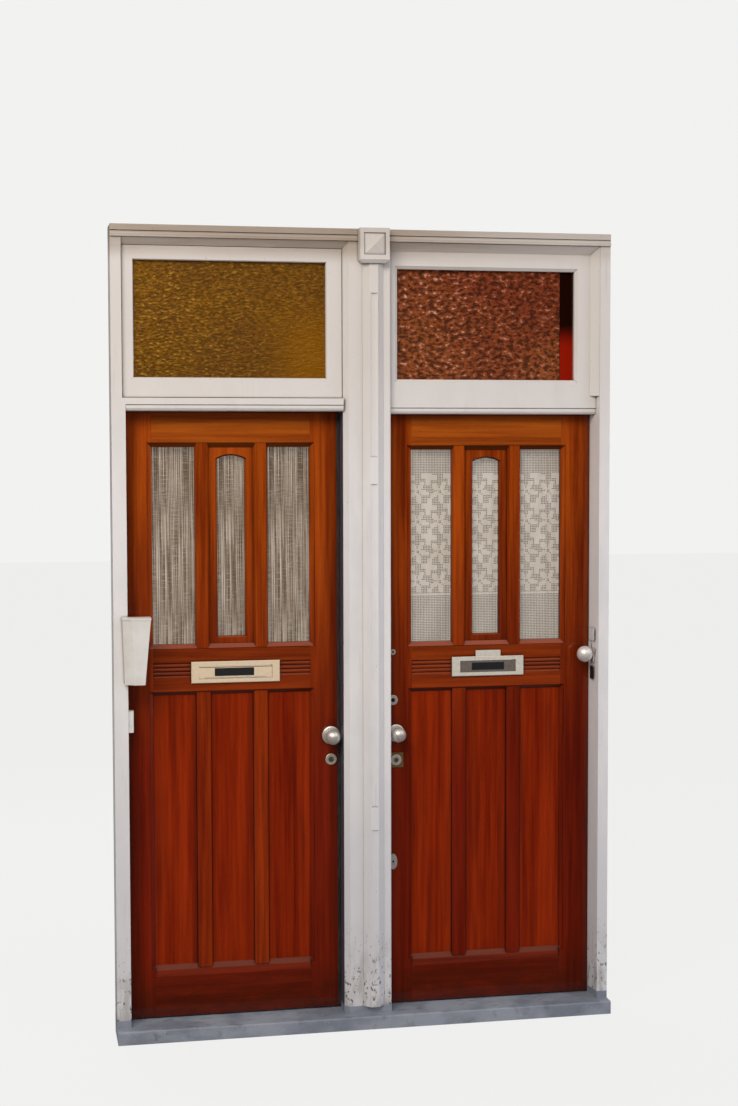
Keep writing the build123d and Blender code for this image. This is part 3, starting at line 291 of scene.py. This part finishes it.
def varnish(name, grain_mm, pore_mm, low, high):
    """Varnished tropical hardwood: quiet ribbons and fine dark pores under a glassy coat. It goes
    from the two low colours, redder and darker low down, to the two high ones, more orange under
    the head. Painted highlights and painted shade lie on its mouldings and in its corners."""
    material, tree, shader, place = finish(name, {
        "IOR": 1.5, "Specular IOR Level": 0.12, "Specular Tint": "f0c8a0", "Coat Roughness": 0.1})
    _, depth, height = add(tree, "SeparateXYZ", (place,)).outputs
    ribbon = patches(tree, place, grain_mm, 0.25, 0.75, detail=4.0, roughness=0.6)
    wide = patches(tree, place, [8 * size for size in grain_mm], 0.35, 0.65, detail=2.0)
    share = add(tree, "Math", (ribbon, 0.55, product(tree, wide, 0.45)), operation="MULTIPLY_ADD")
    stain = patches(tree, place, [2.2 * size for size in grain_mm], 0.48, 0.75, 0.0, 0.5,
                    detail=5.0, roughness=0.6)
    pores = stretched(tree, place, pore_mm, 2.0)
    dark_pores = add(tree, "MapRange", (pores, 0.60, 0.70, 0.0, 0.3), **SMOOTH)
    upward = add(tree, "MapRange", (height, 0.9, 2.2), **SMOOTH)
    foot = product(tree, add(tree, "MapRange", (height, 0.30, 0.07, 0.0, 0.75), **SMOOTH),
                   patches(tree, place, (90, 90, 45), 0.3, 0.6, 0.5, 1.0, detail=4.0))
    # The sloped ledge on the bottom rail is dull, with a painted highlight over its inner half.
    # Mouldings that face up get a painted highlight, those that face down painted shade.
    normal = add(tree, "NewGeometry").outputs["True Normal"]
    facing = add(tree, "SeparateXYZ", (normal,)).outputs[2]
    ledge = product(tree, add(tree, "MapRange", (facing, 0.1, 0.25), **SMOOTH),
                    add(tree, "MapRange", (height, 0.6, 0.5), **SMOOTH))
    middle = (LEAF_FRONT + PANEL_FACE) / 2
    ledge_highlight = add(tree, "MapRange", (depth, middle - 0.0005, middle + 0.0015), **SMOOTH)
    # Painted highlight on faces turned up, above 0.8 m, and painted shade under faces turned down.
    lit = product(tree, add(tree, "MapRange", (facing, 0.15, 0.6, 0.0, 0.5), **SMOOTH),
                  add(tree, "MapRange", (height, 0.8, 1.0), **SMOOTH))
    under = add(tree, "MapRange", (facing, -0.1, -0.5, 0.0, 0.75), **SMOOTH)
    # The two corner layers are painted shade, with some dirt, along the panels' edges and joints.
    shade = layered(tree, low[0], (share, low[1]),
                    (upward, layered(tree, high[0], (share, high[1]))), (stain, "3d0e04"),
                    (dark_pores, "3a1005"), (foot, "3f1306"),
                    (product(tree, ledge, ledge_highlight, 0.8), "6b3a2e"), (lit, "9c523a"),
                    (under, "1c0602"), (corner_shade_and_dirt(tree, 60, 0.55, 0.98, 0.6), "3d0e04"),
                    (corner_shade_and_dirt(tree, 9, 0.95, 0.9, 0.5), "140502"))
    wire(tree, shader, {
        "Base Color": shade,
        "Coat Weight": add(tree, "MapRange", (ledge, 0, 1, 0.45, 0.08), **SMOOTH),
        "Roughness": add(tree, "MapRange", (wide, 0, 1, 0.24, 0.36), **SMOOTH)})
    relief(tree, shader, pores, 0.1)
    return material


stile_wood = varnish("varnished_hardwood_stiles", UPRIGHT_GRAIN, UPRIGHT_PORES,
                     ("4f0c02", "821e04"), ("661c04", "b8510c"))
rail_wood = varnish("varnished_hardwood_rails", LEVEL_GRAIN, LEVEL_PORES,
                    ("520f04", "842307"), ("742a0a", "b05711"))
panel_wood = varnish("varnished_hardwood_panels", UPRIGHT_GRAIN, UPRIGHT_PORES,
                     ("630f01", "9c2d02"), ("6c1602", "a23703"))
# The bars of the right leaf are the darker ones.
bar_woods = (varnish("varnished_hardwood_left_bars", UPRIGHT_GRAIN, UPRIGHT_PORES,
                     ("641403", "9c3404"), ("6e2204", "b8540c")),
             varnish("varnished_hardwood_right_bars", UPRIGHT_GRAIN, UPRIGHT_PORES,
                     ("520a02", "7c1c03"), ("6e2204", "b04c0a")))
for side, bar_wood in zip(SIDES, bar_woods):
    dress(stile_wood, side + "_hinge_stile", side + "_lock_stile", side + "_hatch_sash",
          side + "_glazing_beads")
    dress(bar_wood, side + "_bars")
    dress(rail_wood, side + "_top_rail", side + "_lock_rail", side + "_bottom_rail")
    dress(panel_wood, side + "_panels")

# Leaf glass: thin clear float glass bedded behind the arches. It only mirrors at its faces,
# and lets the light on to the curtains.
pane = bpy.data.materials.new("clear_float_glass")
pane.use_nodes = True
tree = pane.node_tree
tree.nodes.remove(tree.nodes["Principled BSDF"])
place = add(tree, "TexCoord").outputs["Object"]
waves = add(tree, "Bump", {"Height": stretched(tree, place, (70, 70, 160), 1.0),
                           "Distance": 0.0006})
clear = add(tree, "BsdfTransparent", {"Color": "f8f7f4"})
mirror = add(tree, "BsdfGlossy", {"Color": "ffffff", "Roughness": 0.03, "Normal": waves})
# Only the face a ray enters by mirrors it: inside the pane it would else be trapped at low angles.
leaving = add(tree, "NewGeometry").outputs["Backfacing"]
bounce = product(tree, add(tree, "Fresnel", {"IOR": 1.5}),
                 add(tree, "MapRange", (leaving, 1.0, 0.0), **SMOOTH))
both = add(tree, "MixShader", (bounce, clear, mirror))
wire(tree, tree.nodes["Material Output"], {"Surface": both})
for side in SIDES:
    dress(pane, side + "_side_glass", side + "_hatch_glass")

# Curtains: light nets gathered on wires behind each light, seen through the glass. The left
# ones are plain net woven with close upright stripes, the right ones filet lace.
CURTAIN_Y = 0.1349
MESH_MM = 6.5
THREAD_SHARE = 0.44
LIT_THROUGH = 0.42
REPEAT_MESHES = (14, 18)
WORKED_SPAN, BORDER_SPAN = (1.655, 2.122), (1.645, 1.654)
SEGMENTS_PER_FOLD = 10
SEGMENTS_UP = 24


def filled_meshes(tree, cells, offset, petals, reach, heart):
    """Filled meshes of filet lace: the petals or leaves of one motif, once in every repeat."""
    wide, high = REPEAT_MESHES
    shifted = add(tree, "VectorMath", (cells, offset), operation="ADD")
    mesh = add(tree, "VectorMath", (shifted,), operation="FLOOR")
    repeats = add(tree, "VectorMath", (mesh, (wide, high, 1)), operation="DIVIDE")
    inside = add(tree, "VectorMath", (repeats,), operation="FRACTION")
    corner = ((1 - wide) / 2, (1 - high) / 2, 0)
    centred = add(tree, "VectorMath", (inside, (wide, high, 0), corner), operation="MULTIPLY_ADD")
    x, y, _ = add(tree, "SeparateXYZ", (centred,)).outputs
    angle = add(tree, "Math", (y, x), operation="ARCTAN2")
    turned = add(tree, "Math", (angle, petals, 0.4), operation="MULTIPLY_ADD")
    wave = add(tree, "Math", (turned,), operation="COSINE")
    edge = product(tree, add(tree, "Math", (wave,), operation="ABSOLUTE"), reach)
    distance = add(tree, "VectorMath", (centred,), operation="LENGTH")
    return product(tree, add(tree, "Math", (distance, edge), operation="LESS_THAN"),
                   add(tree, "Math", (distance, heart), operation="GREATER_THAN"))


def band(tree, value, low, high, edge):
    """1 between two values, fading to 0 over an edge inside each."""
    return product(tree, add(tree, "MapRange", (value, low, low + edge), **SMOOTH),
                   add(tree, "MapRange", (value, high, high - edge), **SMOOTH))


def lace_threads(tree, cloth):
    """Where filet lace has thread: its square mesh, two motifs by turns and one border."""
    cells = add(tree, "VectorMath", {0: cloth, "Scale": 1000 / MESH_MM}, operation="SCALE")
    in_mesh = add(tree, "VectorMath", (cells,), operation="FRACTION")
    across, up, _ = add(tree, "SeparateXYZ", (in_mesh,)).outputs
    height = add(tree, "SeparateXYZ", (cloth,)).outputs[1]
    worked = band(tree, height, *WORKED_SPAN, 0.002)
    border = band(tree, height, *BORDER_SPAN, 0.001)
    upright = add(tree, "Math", (across, THREAD_SHARE), operation="LESS_THAN")
    level = add(tree, "Math", (up, THREAD_SHARE), operation="LESS_THAN")
    thread = add(tree, "Math", (upright, level), operation="MAXIMUM")
    flower, leaf = ((0, 0, 0), 2.5, 6.8, 1.2), ((7, 9, 0), 2.0, 5.6, 0.5)
    for motif in (flower, leaf):
        filled = product(tree, filled_meshes(tree, cells, *motif), worked)
        thread = add(tree, "Math", (thread, filled), operation="MAXIMUM")
    return add(tree, "Math", (thread, border), operation="MAXIMUM")


def striped_threads(tree, cloth):
    """Where striped net has thread: close upright strands over faint rows."""
    strands = patches(tree, cloth, (2.6, 400, 1000), 0.46, 0.6, roughness=0.5)
    rows = patches(tree, cloth, (50, 4, 1000), 0.45, 0.65, 0.0, 0.4, roughness=0.5)
    return add(tree, "Math", (rows, strands), operation="MAXIMUM")


def net(name, plain, bright, meshes_in_painted_shade, threads):
    """Cotton net: pale threads round meshes painted dark as the shade indoors, lit through from
    behind. The mesh is drawn coarser than the real one, so that it shows."""
    material, tree, shader, place = finish(name, {
        "Roughness": 0.85, "IOR": 1.45, "Sheen Weight": 0.3})
    thread = threads(tree, add(tree, "UVMap", uv_map="cloth"))
    soft = patches(tree, place, (60, 60, 120), 0.3, 0.7)
    # The meshes between the threads are painted dark, as the shade indoors.
    woven = layered(tree, meshes_in_painted_shade, (thread, layered(tree, plain, (soft, bright))))
    through = add(tree, "BsdfTranslucent", {"Color": woven})
    lit = add(tree, "MixShader", (LIT_THROUGH, shader, through))
    wire(tree, shader, {"Base Color": woven})
    wire(tree, tree.nodes["Material Output"], {"Surface": lit})
    relief(tree, shader, thread, 0.5)
    return material


def built(name, shape, material, smooth):
    """An object in the scene, made of a bmesh in one material."""
    mesh = bpy.data.meshes.new(name)
    shape.to_mesh(mesh)
    shape.free()
    for face in mesh.polygons:
        face.use_smooth = smooth
    mesh.materials.append(material)
    piece = bpy.data.objects.new(name, mesh)
    bpy.context.scene.collection.objects.link(piece)
    return piece


def curtain(name, body, node, x_span, z_span, folds, fold_mm, material):
    """One gathered panel, its folds a little uneven, hung before the light by its two wires. Its
    cloth map is the flat sheet in metres, drawn out by the depth of the folds."""
    shape = bmesh.new()
    layer = shape.loops.layers.uv.new("cloth")
    width, drop = x_span[1] - x_span[0], z_span[1] - z_span[0]
    middle = Vector((sum(x_span) / 2, CURTAIN_Y, sum(z_span) / 2))
    bmesh.ops.create_grid(shape, x_segments=folds * SEGMENTS_PER_FOLD, y_segments=SEGMENTS_UP,
                          size=0.5, matrix=Matrix.Translation(middle)
                          @ Matrix.Rotation(pi / 2, 4, "X") @ Matrix.Diagonal((width, drop, 1, 1)))
    fullness = 1 + (pi * folds * fold_mm / 1000 / width) ** 2 / 4
    for face in shape.faces:
        for loop in face.loops:
            spot = loop.vert.co
            loop[layer].uv = ((spot.x - x_span[0]) * fullness, spot.z)
    for vert in shape.verts:
        turn = 2 * pi * folds * (vert.co.x - x_span[0]) / width
        wander = 0.5 * sin(2.1 * vert.co.z + 9 * vert.co.x) + 0.3 * sin(5.3 * vert.co.z)
        depth_mm = fold_mm * (0.78 + 0.22 * sin(0.37 * turn + 1.9 * vert.co.z))
        vert.co.y += depth_mm * (0.5 - 0.5 * cos(turn + wander)) / 1000
    panel = built(name, shape, material, smooth=True)
    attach(panel, body)
    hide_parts(node)


striped_net = net("striped_cotton_net", "d8c9bb", "f2e6da", "6e5a4a", striped_threads)
filet_lace = net("white_filet_lace", "e0d6ce", "ece4dd", "594b42", lace_threads)
# Of each leaf: its net, the X of its side lights and of its hatch light, the Z of both, the
# folds in both, and how deep they are.
for side, material, lights, hatch, light_z, hatch_z, folds, hatch_folds, fold_mm in (
        ("left", striped_net, ((-0.817, -0.636), (-0.378, -0.197)), (-0.570, -0.444),
         (1.456, 2.248), (1.493, 2.207), 11, 8, 5.5),
        ("right", filet_lace, ((0.181, 0.362), (0.620, 0.801)), (0.428, 0.554),
         (1.444, 2.236), (1.481, 2.195), 6, 4, 3.5)):
    for where, span in zip(("west", "east"), lights):
        curtain(f"{side}_curtain_{where}", side + "_leaf", side + "_side_curtains", span, light_z,
                folds, fold_mm, material)
    curtain(side + "_curtain_hatch", side + "_hatch", side + "_hatch_curtain", hatch, hatch_z,
            hatch_folds, fold_mm, material)

# Door furniture: knobs, roses and escutcheons of satin nickel on brass, polished in patches by
# hands. On the right leaf the square plate under the key rosette is old brass.
FINE_BRUSH, FINE_SCRATCHES = (9, 9, 0.8), (12, 12, 0.6)
LEVEL_LINES, LEVEL_SCRATCHES = (60, 0.7, 0.7), (50, 0.5, 0.5)
EVEN_BRUSH, EVEN_SCRATCHES = (5, 5, 5), (3, 3, 3)


def metal(name, colour, worn, rough, brush_mm, scratch_mm, bare=1.0, overlay=None):
    """Plated or anodised metal: even colour, fine brushing, and duller clouds from hands and
    weather, with painted shade in its corners and joints. An anodised skin scatters part of the
    light, so it is less than fully bare metal."""
    material, tree, shader, place = finish(name, {"Metallic": bare})
    cloud = patches(tree, place, (14, 14, 14), 0.35, 0.7)
    shade = layered(tree, colour, (cloud, worn), (corner_shade_and_dirt(tree, 5, 0.85, 0.85, 0.5), "3c362f"))
    if overlay:
        shade = overlay(tree, place, shade)
    dull = add(tree, "MapRange", (cloud, 0, 1, rough, rough + 0.12), **SMOOTH)
    lines = stretched(tree, place, brush_mm, 2.0)
    brushed = add(tree, "Math", (lines, 0.12, dull), operation="MULTIPLY_ADD")
    wire(tree, shader, {"Base Color": shade, "Roughness": brushed})
    relief(tree, shader, stretched(tree, place, scratch_mm, 1.0), 0.03)
    return material


def brass_plate(tree, place, shade):
    """Old brass on the square plate, the only thing between these two depths."""
    depth = add(tree, "SeparateXYZ", (place,)).outputs[1]
    plate_share = product(tree, add(tree, "MapRange", (depth, 0.0873, 0.0876), **SMOOTH),
                          add(tree, "MapRange", (depth, 0.0908, 0.0904), **SMOOTH))
    return layered(tree, shade, (plate_share, "8c6c44"))


nickel = ("dcd6cd", "c8c0b5", 0.26, FINE_BRUSH, FINE_SCRATCHES, 0.65)
dress(metal("satin_nickel_plate", *nickel), "left_door_furniture")
dress(metal("nickel_with_brass_key_plate", *nickel, overlay=brass_plate), "right_door_furniture")

# Key turns and lock bolts: each plug is turned by a key outside and a thumb turn inside, and
# throws its bolt into the post. Both are plain brass, tarnished brown in clouds.
brass = metal("tarnished_brass", "a58c66", "6e583a", 0.3, EVEN_BRUSH, EVEN_SCRATCHES, 0.8)
for side in SIDES:
    dress(brass, side + "_key_turn", side + "_lock_bolt")

# Hinges and strike plates: pressed steel let into the edges of leaf and frame, zinc-plated to
# an even dull grey.
steel = metal("zinc_plated_steel", "9b9b98", "7f7f7c", 0.34, EVEN_BRUSH, EVEN_SCRATCHES)
dress(steel, "left_hinge_plates", "right_hinge_plates", "frame_hinge_plates", "strike_plates")

# Letterplates and flaps: anodised aluminium brushed from side to side, champagne on the left
# leaf, silver on the right one, whose flap is painted darker as the shade in its recess.
champagne = metal("champagne_anodised_aluminium", "ead2b1", "e4cbaa", 0.42, LEVEL_LINES,
                  LEVEL_SCRATCHES, 0.3)
silver = metal("silver_anodised_aluminium", "dcd3c4", "cfc6b6", 0.42, LEVEL_LINES,
               LEVEL_SCRATCHES, 0.3)
# The right flap's darker colour is painted shade.
flap_metal_in_painted_shade = metal("aluminium_flap_in_painted_shade", "7a7065", "6d645a", 0.42, LEVEL_LINES,
               LEVEL_SCRATCHES, 0.4)
dress(champagne, "left_letterplate", "left_letter_flap")
dress(silver, "right_letterplate")
dress(flap_metal_in_painted_shade, "right_letter_flap")

# Bell on the right reveal: a dome on an arm from the jamb, with a small thumb lever beside it,
# all of them pale nickel roughened by the weather.
bell_metal = metal("weathered_bell_nickel", "e6dfd8", "cfc6be", 0.36, (6, 6, 6), (4, 4, 4), 0.5)
dress(bell_metal, "bell_dome", "bell_mount", "bell_lever")

# Tapered box and bell push on the left jamb: thin white polystyrene mouldings, faintly
# yellowed by the sun and scuffed.
plastic, tree, shader, place = finish("sun_yellowed_white_polystyrene", {
    "IOR": 1.55, "Subsurface Weight": 0.05, "Subsurface Scale": 0.004})
yellow = patches(tree, place, (120, 120, 120), 0.35, 0.65)
scuffs = patches(tree, place, (6, 6, 14), 0.66, 0.76, 0.0, 0.35, detail=5.0)
wire(tree, shader, {
    "Base Color": layered(tree, "dad6d0", (yellow, "d0c8bf"), (scuffs, "a7a097")),
    "Roughness": add(tree, "MapRange", (yellow, 0, 1, 0.38, 0.5), **SMOOTH)})
relief(tree, shader, stretched(tree, place, (1.2, 1.2, 1.2), 2.0), 0.05)
dress(plastic, "jamb_box", "push_housing", "push_button")


# Name plates on the right reveal: two blank white cards and a torn black label, stuck to the
# paint above, behind and below the bell.
def plate(name, body, low, high, rounding, material):
    """A small plate between two corners, its edges eased."""
    low, high = Vector(low), Vector(high)
    shape = bmesh.new()
    bmesh.ops.create_cube(shape, size=1, matrix=Matrix.Translation((low + high) / 2)
                          @ Matrix.Diagonal((*(high - low), 1)))
    bmesh.ops.bevel(shape, geom=shape.edges[:], offset=rounding, offset_type="OFFSET",
                    affect="EDGES", segments=2, profile=0.5, material=-1)
    piece = built(name, shape, material, smooth=False)
    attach(piece, body)


card, tree, shader, place = finish("weathered_white_card", {"Roughness": 0.45, "IOR": 1.5})
faded = patches(tree, place, (12, 12, 6), 0.35, 0.65, detail=4.0)
wire(tree, shader, {"Base Color": layered(tree, "dedcda", (faded, "ccc9c6"))})
relief(tree, shader, stretched(tree, place, (3, 3, 3)), 0.1)

label, tree, shader, place = finish("black_vinyl_label", {"Roughness": 0.4, "IOR": 1.5})
torn = patches(tree, place, (5, 5, 5), 0.70, 0.74, detail=5.0)
wire(tree, shader, {"Base Color": layered(tree, "1d1c1e", (torn, "b9b4ad"))})
relief(tree, shader, torn, 0.2)

plate("upper_name_plate", "root",
      (0.9052, 0.022, 1.465), (0.9072, 0.082, 1.512), 0.0006, card)
plate("lower_name_plate", "root",
      (0.9052, 0.062, 1.370), (0.9072, 0.086, 1.455), 0.0006, card)
plate("reveal_label", "root",
      (0.9058, 0.030, 1.312), (0.9072, 0.070, 1.362), 0.0004, label)

# Card holder over the right letterplate and stickers on both flaps: a thin aluminium plate, and
# dark vinyl strips with nothing on them.
plate("card_holder", "right_leaf",
      (0.446, 0.0862, 1.4035), (0.546, 0.0902, 1.431), 0.001, silver)
plate("left_flap_sticker", "left_letter_flap",
      (-0.575, 0.0850, 1.357), (-0.425, 0.0857, 1.387), 0.0002, label)
plate("right_flap_sticker", "right_letter_flap",
      (0.430, 0.0850, 1.354), (0.560, 0.0857, 1.383), 0.0002, label)

# Shadow line and lip of the left flap: a thin black strip painted as the shadow under its pin,
# and a lip for the fingers at its foot, in pale metal as a painted highlight.
plate("left_flap_painted_shadow_line", "left_letter_flap",
      (-0.634, 0.0851, 1.3895), (-0.356, 0.0856, 1.3915), 0.0001, label)
plate("left_flap_lip_painted_highlight", "left_letter_flap",
      (-0.612, 0.0842, 1.3505), (-0.378, 0.0856, 1.3530), 0.0004, bell_metal)

# Draught seal on the left leaf's lock stile: a black rubber strip let in along the whole
# edge that meets the post. Its black also stands in as the painted shadow of the gap there.
rubber, tree, shader, place = finish("black_epdm_rubber", {"IOR": 1.5})
bloom = patches(tree, place, (5, 5, 60), 0.4, 0.7, detail=4.0)
wire(tree, shader, {"Base Color": layered(tree, "1a1817", (bloom, "332e2a")),
                    "Roughness": add(tree, "MapRange", (bloom, 0, 1, 0.5, 0.75), **SMOOTH)})
relief(tree, shader, stretched(tree, place, (2, 2, 2)), 0.1)
plate("draught_seal_and_gap_shadow", "left_leaf",
      (-0.103, 0.0888, 0.060), (-0.0922, 0.0903, 2.352), 0.0005, rubber)

# Studio floor: pale and matt. Mirrors show it dim, and the camera sees most of it as the bare
# backdrop.
FLOOR_REACH = 30
BACKDROP, BACKDROP_SHARE = "f2f2f1", 0.9
floor_finish, tree, shader, place = finish("pale_studio_floor", {"Roughness": 0.9})
ray = add(tree, "LightPath").outputs
even = layered(tree, "b9b7b4", (stretched(tree, place, (900, 900, 900)), "bdbbb8"))
wire(tree, shader, {"Base Color": layered(tree, even, (ray["Is Glossy Ray"], "2e2823"))})
glow = add(tree, "Emission", {"Color": BACKDROP, "Strength": 1.03})
bare = product(tree, ray["Is Camera Ray"], BACKDROP_SHARE)
paler = add(tree, "MixShader", (bare, shader, glow))
wire(tree, tree.nodes["Material Output"], {"Surface": paler})
ground = bmesh.new()
bmesh.ops.create_grid(ground, x_segments=1, y_segments=1, size=FLOOR_REACH)
floor = built("studio_floor", ground, floor_finish, smooth=False)

# The world is an even overcast sky. Mirrors show it dim at eye level and overhead and bright in
# between, so only faces turned to that band shine.
SKY_STRENGTH = 0.66
SKY_BAND = (1.9, 1.9, 1.95, 1)
world = bpy.data.worlds.new("overcast")
world.use_nodes = True
bpy.context.scene.world = world
tree = world.node_tree
sky = tree.nodes["Background"]
toward = add(tree, "TexCoord").outputs["Generated"]
aloft = add(tree, "SeparateXYZ", (toward,)).outputs[2]
open_sky = product(tree, add(tree, "MapRange", (aloft, 0.15, 0.5), **SMOOTH),
                   add(tree, "MapRange", (aloft, 0.95, 0.75, 0.15), **SMOOTH))
mirrored = layered(tree, "28211b", (open_sky, SKY_BAND))
ray = add(tree, "LightPath").outputs
wire(tree, sky, {"Color": layered(tree, "e9ebef", (ray["Is Glossy Ray"], mirrored)),
                 "Strength": SKY_STRENGTH})
white = add(tree, "Background", {"Color": BACKDROP, "Strength": 1.0})
seen = add(tree, "Math", (ray["Is Camera Ray"], ray["Is Transmission Ray"]), operation="MAXIMUM")
backdrop = add(tree, "MixShader", (seen, sky, white))
wire(tree, tree.nodes["World Output"], {"Surface": backdrop})


# Lamps: soft light from the front and the left, a weaker cool one from the right, and one on
# the back, as on the overcast day of the photograph.
def lamp(name, spot, aim, size, power, colour, mirrored):
    """A large soft area light, which glass and varnish may mirror."""
    light = bpy.data.lights.new(name, "AREA")
    light.shape = "RECTANGLE"
    light.size, light.size_y = size
    light.energy = power
    light.color = linear(colour)[:3]
    held = bpy.data.objects.new(name, light)
    turned = (Vector(aim) - Vector(spot)).to_track_quat("-Z", "Y").to_matrix().to_4x4()
    held.matrix_world = Matrix.Translation(spot) @ turned
    held.visible_glossy = mirrored
    bpy.context.scene.collection.objects.link(held)


lamp("front_light", (-2.6, -4.6, 5.4), (0, 0, 1.4), (3.5, 2.5), 260, "fffaf2", True)
lamp("side_light", (5.0, -2.6, 2.2), (0, 0, 1.4), (2.5, 3.0), 80, "dde6ff", False)
lamp("back_light", (-1.5, 4.5, 3.6), (0, 0, 1.5), (3.0, 2.5), 90, "fbfbff", False)

# Camera: where the photograph was taken from, to the left of the doors and about 2.2 m above the
# foot of the step, turned as the photograph's straight lines say.
CAMERA_SPOT = (-1.3309, -6.6853, 2.2060)
LENS_MM, SENSOR_MM = 58.59, 36
yaw, pitch, roll = radians(11.3), radians(-3.227), radians(0.122)
ahead = Vector((sin(yaw) * cos(pitch), cos(yaw) * cos(pitch), sin(pitch)))
level = Vector((cos(yaw), -sin(yaw), 0))
down = ahead.cross(level)
right_hand = cos(roll) * level + sin(roll) * down
below = cos(roll) * down - sin(roll) * level
turned = Matrix((right_hand, -below, -ahead)).transposed().to_4x4()
view = bpy.data.cameras.new("camera")
view.sensor_width = SENSOR_MM
view.lens = LENS_MM
camera = bpy.data.objects.new("camera", view)
camera.matrix_world = Matrix.Translation(CAMERA_SPOT) @ turned
bpy.context.scene.collection.objects.link(camera)
bpy.context.scene.camera = camera
bpy.context.scene.view_settings.view_transform = "Standard"
